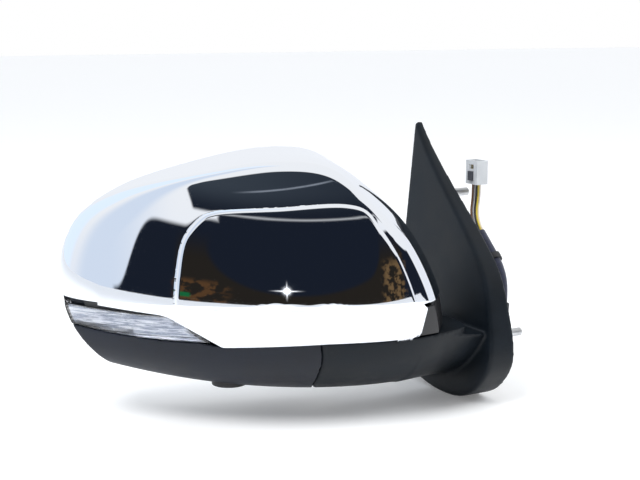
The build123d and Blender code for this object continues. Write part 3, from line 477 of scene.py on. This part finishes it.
def wall_point(foot, y):
    """The wall's x and z at depth y, over matching points of the three sections."""
    front, middle, rear = foot
    ahead = (past(-y) / -WALL_FRONT_Y)[..., None]
    behind = (past(y) / WALL_REAR_Y)[..., None]
    both = middle + (front - middle) * ahead + (rear - middle) * behind
    return both[..., 0], both[..., 1]


def crease_round(x, z, y):
    """Rounds the ridge along the crease, where the face turns down into the band."""
    width = CREASE_SOFT
    up = (CREASE_Z - FACE_LEVEL_Z) / FACE_R_TALL
    d = z - CREASE_Z
    ridge = (up + BAND_SLOPE) * (d * d + width * width) / (4 * width) + (up - BAND_SLOPE) * d / 2
    return np.where(np.abs(d) < width, face_y(x, CREASE_Z) + ridge, y)


def on_shoulder(foot):
    """Where the wall meets the face: x, z and y."""
    y = np.full(len(foot[0]), -30.0)
    for _ in range(18):
        x, z = wall_point(foot, y)
        y = face_y(x, z)
    return x, z, y


def cap_columns():
    """The wall and panel points that share a bearing from the middle of the crease."""
    centre = np.array((CREASE_MID_X, CREASE_Z))
    sections = wall_sections()
    x, z, _ = on_shoulder(sections)
    bearing = np.arctan2(z - centre[1], x - centre[0])
    keep = (bearing > -0.2) | (bearing < -2.9)
    bearing = np.where(bearing[keep] < -1.5, bearing[keep] + 2 * math.pi, bearing[keep])
    steps = np.hypot(np.diff(x[keep]), np.diff(z[keep]))
    travelled = np.concatenate(([0], np.cumsum(steps)))
    start, end = np.interp(0.0, bearing, travelled), np.interp(math.pi, bearing, travelled)
    near = np.arange(0, 4.5, 0.32)
    at = np.concatenate((start + near, np.linspace(start + 4.8, end - 4.8, 330), end - near[::-1]))
    columns = np.interp(at, travelled, bearing)
    foot = [np.stack([np.interp(at, travelled, part[keep][:, k]) for k in (0, 1)], -1)
            for part in sections]
    panel = dense_curve(PANEL)
    turn = np.arctan2(panel[:, 1] - centre[1], panel[:, 0] - centre[0])
    turn[-1] = math.pi
    ring = np.stack([np.interp(columns, turn, panel[:, k]) for k in (0, 1)], -1)
    return foot, ring, panel


def distance_to(points, curve):
    """Distance from each point to the polyline."""
    start, step = curve[:-1:6], np.diff(curve[::6], axis=0)
    start = start[:len(step)]
    away = points[:, None, :] - start[None]
    share = np.clip(np.sum(away * step, axis=2) / np.sum(step * step, axis=1), 0, 1)
    return np.min(np.linalg.norm(away - share[..., None] * step[None], axis=2), axis=1)


def cap_grid():
    """Rows of points from the crease under the panel out over the shoulder to the rim."""
    foot, ring, panel = cap_columns()
    count = len(ring)
    share = np.linspace(0, 1, count)[:, None]
    chord = np.hstack((CHORD_X - CHORD_SPAN * share, np.full((count, 1), CREASE_Z)))
    rows = []
    span = ring - chord
    length = np.linalg.norm(span, axis=1)
    unit = span / length[:, None]
    low = np.array((0, 0.25, 0.5, 0.75, 1.0, 1.25, 1.5, 1.8, 2.4))
    edge = np.array((4.4, 3.6, 3.1, 2.7, 2.4, 2.1, 1.8, 1.5, 1.2, 0.9, 0.6, 0.3, 0.0))
    for d in low:
        rows.append(chord + unit * d)
    inner = length[:, None] - edge[0]
    for t in np.linspace(0, 1, FILL_ROWS)[1:-1]:
        rows.append(chord + unit * (low[-1] * (1 - t) + inner * t))
    for d in edge:
        rows.append(ring - unit * d)
    flat = []
    for row in rows:
        x, z = row[:, 0], row[:, 1]
        proud = PANEL_DEPTH * smooth(distance_to(row, panel) / PANEL_FADE)
        proud = proud * smooth((z - CREASE_Z) / PANEL_CREASE_FADE)
        flat.append(np.stack((x, crease_round(x, z, face_y(x, z)) - proud, z), -1))
    x, z, y_shoulder = on_shoulder(foot)
    corner = np.stack((x, z), -1)
    tip = smooth((-120 - foot[1][:, 0]) / 90)
    inboard = smooth((foot[1][:, 0] + 5) / 40)
    reach = 4.0 + 6.0 * inboard + 20.0 * tip
    depth = 4.5 + 5.0 * inboard + 16.0 * tip
    out = corner - ring
    gap = np.linalg.norm(out, axis=1)
    reach = np.minimum(reach, gap * 0.6)
    start = corner - out / gap[:, None] * reach[:, None]
    for t in np.linspace(0, 1, LEDGE_ROWS + 1)[1:]:
        row = ring * (1 - t) + start * t
        x, z = row[:, 0], row[:, 1]
        flat.append(np.stack((x, crease_round(x, z, face_y(x, z)), z), -1))
    a = flat[-1]
    b = np.stack((corner[:, 0], y_shoulder, corner[:, 1]), -1)
    y_end = y_shoulder + depth
    x, z = wall_point(foot, y_end)
    c = np.stack((x, y_end, z), -1)
    for t in np.linspace(0, 1, SHOULDER_ROWS + 1)[1:]:
        flat.append(a * (1 - t) ** 2 + 2 * b * t * (1 - t) + c * t * t)
    for t in np.linspace(0, 1, WALL_ROWS + 1)[1:]:
        y = y_end * (1 - t) + RIM * t
        x, z = wall_point(foot, y)
        flat.append(np.stack((x, y, z), -1))
    return flat, len(rows)


def band_rows(top):
    """The white lower band: columns down from the crease to the cap's lower edge."""
    x0 = top[:, 0]
    x_last = x0.max()
    steps = np.concatenate((np.linspace(0, 1.6, 8), np.linspace(2.4, 27, 20)))
    rows = []
    for step in steps[1:]:
        z_free = CREASE_Z - step
        grow = smooth(step / 3.5)
        edge_x = 22.5 - 3.5 * max(0.0, (step - 3.0)) / 18.0
        reach = x_last * (1 - grow) + edge_x * grow
        x = np.where(x0 > 0, x0 * reach / x_last, x0)
        limit = np.interp(x, CAP_EDGE[:, 0], CAP_EDGE[:, 1])
        z = np.maximum(z_free, limit)
        y = face_y(x, CREASE_Z) + (CREASE_Z - z) * BAND_SLOPE
        rows.append(np.stack((x, crease_round(x, z, y), z), -1))
    return rows


def add_mesh(name, points, faces, slot, body):
    mesh = bpy.data.meshes.new(name)
    mesh.from_pydata([tuple(p) for p in points], [], faces)
    obj = linked(name, mesh)
    shade_smooth(mesh)
    dress(obj, slot)
    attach(obj, body)
    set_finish(obj, slot)
    return obj


def grid_faces(first, second):
    return [(first[i], first[i + 1], second[i + 1], second[i]) for i in range(len(first) - 1)]


def weld(obj, distance):
    bm = bmesh.new()
    bm.from_mesh(obj.data)
    bmesh.ops.remove_doubles(bm, verts=bm.verts, dist=distance)
    bmesh.ops.dissolve_degenerate(bm, edges=bm.edges, dist=distance * 0.5)
    loose = [v for v in bm.verts if not v.link_faces]
    bmesh.ops.delete(bm, geom=loose, context="VERTS")
    bmesh.ops.recalc_face_normals(bm, faces=bm.faces)
    bm.to_mesh(obj.data)
    bm.free()
    shade_smooth(obj.data)


def make_cap():
    flat, panel_rows = cap_grid()
    count = len(flat[0])
    points = np.vstack(flat)
    index = np.arange(len(flat) * count).reshape(len(flat), count)
    faces = []
    for a, b in zip(index, index[1:]):
        faces += grid_faces(list(a), list(b))
    top = [index[r][0] for r in range(panel_rows + LEDGE_ROWS - 1, 0, -1)]
    top += list(index[0])
    top += [index[r][-1] for r in range(1, len(flat)) if points[index[r][-1]][1] < BAND_REAR_Y]
    rows = band_rows(points[top])
    last = top
    stack = [points]
    total = len(points)
    for row in rows:
        here = list(range(total, total + len(row)))
        faces += [tuple(reversed(f)) for f in grid_faces(last, here)]
        stack.append(row)
        total += len(row)
        last = here
    cap = add_mesh("cap_shell", to_row(np.vstack(stack)), [tuple(int(i) for i in f) for f in faces],
                   "chrome", "head")
    weld(cap, WELD_DISTANCE)
    wall = cap.modifiers.new("wall", "SOLIDIFY")
    wall.thickness = CAP_WALL
    wall.offset = -1.0
    edge = cap.modifiers.new("edge", "BEVEL")
    edge.width = CAP_BEVEL
    edge.segments = 2
    edge.limit_method = "ANGLE"
    edge.angle_limit = math.radians(60)
    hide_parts("chrome_cap")


# ------------------------------------------------------------------ behind the indicator lens
LENS_CORE = (-120, 60, -22)
OUTWARD = 0.35
LAYER_THICKNESS = 0.0007


def lens_layer(name, depth, lift, slot):
    """A thin moulding that follows the lens's outer face, behind it by depth and up by lift."""
    mesh = NODES["indicator_lens"].data.copy()
    bm = bmesh.new()
    bm.from_mesh(mesh)
    bmesh.ops.remove_doubles(bm, verts=bm.verts, dist=WELD_DISTANCE)
    centre = Vector(to_row(LENS_CORE))
    inner = [f for f in bm.faces
             if f.normal.dot((f.calc_center_median() - centre).normalized()) < OUTWARD]
    bmesh.ops.delete(bm, geom=inner, context="FACES")
    bm.normal_update()
    for vert in bm.verts:
        vert.co -= vert.normal * depth
        vert.co.z += lift
    bm.to_mesh(mesh)
    bm.free()
    obj = linked(name, mesh)
    skin = obj.modifiers.new("skin", "SOLIDIFY")
    skin.thickness = LAYER_THICKNESS
    skin.offset = -1.0
    dress(obj, slot)
    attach(obj, "head")
    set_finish(obj, slot)


def make_lamp_layers():
    lens_layer("lamp_optic", 0.0031, 0.0, "reflector")
    lens_layer("lamp_rim", 0.0041, 0.0048, "shell_black")
    lens_layer("lamp_sill", 0.0041, -0.0030, "shell_black")


# ------------------------------------------------------------------ soft-edged mouldings
def softened(node, name, voxel, passes, body, slot):
    """The CAD shape with its edges rounded as a moulding's are."""
    obj = linked(name, NODES[node].data.copy())
    remesh = obj.modifiers.new("remesh", "REMESH")
    remesh.mode = "VOXEL"
    remesh.voxel_size = voxel
    relax = obj.modifiers.new("relax", "SMOOTH")
    relax.factor = 0.5
    relax.iterations = passes
    bpy.context.view_layer.update()
    baked = bpy.data.meshes.new_from_object(obj.evaluated_get(bpy.context.evaluated_depsgraph_get()))
    obj.modifiers.clear()
    obj.data = baked
    shade_smooth(baked)
    dress(obj, slot)
    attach(obj, body)
    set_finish(obj, slot)
    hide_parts(node)


# ------------------------------------------------------------------ stage and light
FLOOR_GAP = 0.0004
FLOOR_HALF = 9.0
STAR_AZIMUTH, STAR_ELEVATION = -29.0, 4.4


def make_floor():
    low = CAD_BOX[0][2] - FLOOR_GAP
    mesh = bpy.data.meshes.new("floor")
    half = FLOOR_HALF
    mesh.from_pydata([(-half, -half, low), (half, -half, low), (half, half, low), (-half, half, low)],
                     [], [(0, 1, 2, 3)])
    floor = linked("floor", mesh)
    material, s = new_material("floor_paper")
    fibre = s.noise(s.place(), 300.0, 3.0)
    s.surface(Base_Color=s.mix(fibre, rgb(0.90, 0.90, 0.90), rgb(0.94, 0.94, 0.94)), Roughness=0.9,
              Emission_Color=rgb(1.0, 1.0, 1.0), Emission_Strength=0.16)
    mesh.materials.append(material)


def make_world():
    """White surround with dark and coloured patches. Not plain studio light.

    The patches stand where the photo's chrome reflects them, as traced through this scene's
    camera, so they fit only from the photo's angle. Camera rays see plain white instead.
    """
    world = bpy.data.worlds.new("tent")
    world.use_nodes = True
    SCENE.world = world
    s = Shader(world.node_tree)
    split = s.node("ShaderNodeSeparateXYZ")
    s.put(split.inputs[0], s.node("ShaderNodeTexCoord").outputs["Generated"])
    x, y, z = split.outputs
    azimuth = s.math("MULTIPLY", s.math("ARCTAN2", x, s.math("MULTIPLY", y, -1.0)), 180 / math.pi)
    elevation = s.math("MULTIPLY", s.math("ARCSINE", z), 180 / math.pi)

    def band(value, low, high, soft=1.5):
        rise = s.ramp(value, low, low + soft)
        return s.math("MULTIPLY", rise, s.ramp(value, high - soft, high, 1.0, 0.0))

    def patch(a0, a1, e0, e1, soft_a=1.5, soft_e=1.5):
        return s.math("MULTIPLY", band(azimuth, a0, a1, soft_a), band(elevation, e0, e1, soft_e))

    def below(limit, soft=1.0):
        return s.ramp(s.math("SUBTRACT", elevation, limit), -soft, soft, 1.0, 0.0)

    def highest(*values):
        top = values[0]
        for value in values[1:]:
            top = s.math("MAXIMUM", top, value)
        return top

    def hypotenuse(a, b):
        return s.math("SQRT", s.math("ADD", s.math("MULTIPLY", a, a), s.math("MULTIPLY", b, b)))

    # the dark areas
    brow_top = s.ramp(azimuth, -62, -20, 39, 47.5)
    leaning = s.math("ADD", azimuth, s.ramp(elevation, 25, 39, -5.0, 0.0))
    brow = s.math("MULTIPLY", below(brow_top), s.math("MULTIPLY", s.ramp(leaning, -62.8, -61.8),
                                                      patch(-70, 22, 27, 60, 2.0)))
    fall = s.math("POWER", s.ramp(azimuth, -82, -62, 1.0, 0.0), 2.4)
    side_top = s.math("ADD", s.ramp(fall, 0.0, 1.0, 22.0, 0.0), s.ramp(azimuth, -60, -54, 0.0, 3.4))
    side = s.math("MULTIPLY", below(side_top), patch(-82, -44, -14, 30, 1.5))
    main = patch(-50.5, 22, -14, 28.5)
    flank = patch(13, 62, -14, 20.5, 2.5)
    dark = highest(brow, side, main, flank)
    notch = patch(3.0, 40, 21.0, 31.0)
    dark = s.math("MULTIPLY", dark, s.math("SUBTRACT", 1.0, notch))

    # clutter, a paler edge, a green spot and a seam inside the dark areas
    where = s.node("ShaderNodeCombineXYZ")
    s.put(where.inputs[0], s.math("MULTIPLY", azimuth, 0.14))
    s.put(where.inputs[1], s.math("MULTIPLY", elevation, 0.24))
    clutter = s.noise(where.outputs[0], 1.7, 3.0, 0.6)
    things = s.ramp(clutter, 0.46, 0.56)
    left = s.math("MULTIPLY", patch(-64, -44, -8, 7.0, 5.0, 2.0), things)
    right = s.math("MULTIPLY", patch(1, 22, -8, 14, 6.0, 4.0), things)
    across = s.math("MULTIPLY", s.math("ADD", azimuth, 25.0), 1 / 27.0)
    upward = s.math("MULTIPLY", s.math("SUBTRACT", elevation, 17.0), 1 / 14.0)
    ring = hypotenuse(across, upward)
    floor = s.math("MULTIPLY", s.ramp(ring, 0.97, 1.06), s.ramp(elevation, 12, 22, 1.0, 0.0))
    floor = s.math("MULTIPLY", floor, band(azimuth, -63, 20, 3.0))
    slate = s.math("MULTIPLY", s.ramp(elevation, 27, 38), s.ramp(azimuth, -64, 10, 1.0, 0.35))
    inside = s.mix(slate, rgb(0.0105, 0.0145, 0.0250), rgb(0.046, 0.058, 0.074))
    inside = s.mix(floor, inside, rgb(0.020, 0.017, 0.014))
    inside = s.mix(left, inside, rgb(0.10, 0.050, 0.022))
    inside = s.mix(right, inside, rgb(0.17, 0.105, 0.050))
    inside = s.mix(patch(-61.5, -57.0, 0.4, 2.2, 1.0, 0.5), inside, rgb(0.010, 0.14, 0.045))
    seam = s.math("ADD", s.math("MULTIPLY", azimuth, 0.16), 42.5)
    seam = s.math("ABSOLUTE", s.math("SUBTRACT", elevation, seam))
    seam = s.math("MULTIPLY", s.ramp(seam, 0.10, 0.45, 1.0, 0.0), band(azimuth, -47, -5, 12.0))
    inside = s.mix(s.math("MULTIPLY", seam, 0.8), inside, rgb(0.30, 0.33, 0.38))

    tent = s.mix(s.ramp(elevation, -20, 40), rgb(0.90, 0.935, 1.0), rgb(1.0, 1.0, 1.0))
    tent = s.mix(band(azimuth, -125, -62, 22.0), tent, rgb(0.74, 0.82, 0.94))
    tent = s.mix(band(azimuth, -178, -126, 12.0), tent, rgb(0.90, 1.02, 1.16))
    colour = s.mix(dark, tent, inside)

    # a small lamp close to the camera's direction, with four rays
    glow_a = s.math("ABSOLUTE", s.math("SUBTRACT", azimuth, STAR_AZIMUTH))
    glow_e = s.math("ABSOLUTE", s.math("SUBTRACT", elevation, STAR_ELEVATION))
    reach = hypotenuse(glow_a, glow_e)
    glow = s.math("POWER", s.ramp(reach, 0.0, 3.4, 1.0, 0.0), 4.0)
    flat_ray = s.math("MULTIPLY", s.ramp(glow_a, 0.0, 6.0, 1.0, 0.0), s.ramp(glow_e, 0.0, 0.35, 1.0, 0.0))
    tall_ray = s.math("MULTIPLY", s.ramp(glow_e, 0.0, 4.0, 1.0, 0.0), s.ramp(glow_a, 0.0, 0.35, 1.0, 0.0))
    glow = highest(glow, s.math("MULTIPLY", flat_ray, 0.7), s.math("MULTIPLY", tall_ray, 0.7))
    lit = s.node("ShaderNodeBackground")
    s.put(lit.inputs["Color"], s.mix(glow, colour, rgb(1.0, 1.0, 1.0)))
    s.put(lit.inputs["Strength"], s.math("ADD", 1.0, s.math("MULTIPLY", glow, 5.0)))
    plain = s.node("ShaderNodeBackground")
    plain.inputs["Color"].default_value = rgb(1.0, 1.0, 1.0)
    pick = s.node("ShaderNodeMixShader")
    s.put(pick.inputs[0], s.node("ShaderNodeLightPath").outputs["Is Camera Ray"])
    s.put(pick.inputs[1], lit.outputs[0])
    s.put(pick.inputs[2], plain.outputs[0])
    out = s.node("ShaderNodeOutputWorld")
    s.put(out.inputs[0], pick.outputs[0])


def area_light(name, azimuth, elevation, distance, size, power, colour=(1, 1, 1)):
    data = bpy.data.lights.new(name, "AREA")
    data.shape = "DISK"
    data.size = size
    data.energy = power
    data.color = colour
    light = linked(name, data)
    back = direction(azimuth, elevation)
    light.location = TARGET + back * distance
    light.rotation_euler = (-back).to_track_quat("-Z", "Y").to_euler()
    light.visible_glossy = False


def make_lights():
    area_light("key", -70, 55, 1.4, 0.7, 14.0)
    area_light("fill", 60, 35, 1.5, 0.8, 8.0, (0.92, 0.96, 1.0))


# ------------------------------------------------------------------ scene
make_camera()
make_cords()
dress_nodes()
for cord in [o for o in SCENE.objects if o.type == "CURVE"]:
    dress(cord, cord["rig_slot"])
make_cap()
make_lamp_layers()
softened("base_cover", "base_shell", 0.0010, 10, "base", "base_black")
softened("lower_skirt", "skirt_shell", 0.0009, 6, "head", "shell_black")
make_floor()
make_world()
make_lights()
SCENE.view_settings.view_transform = "Standard"
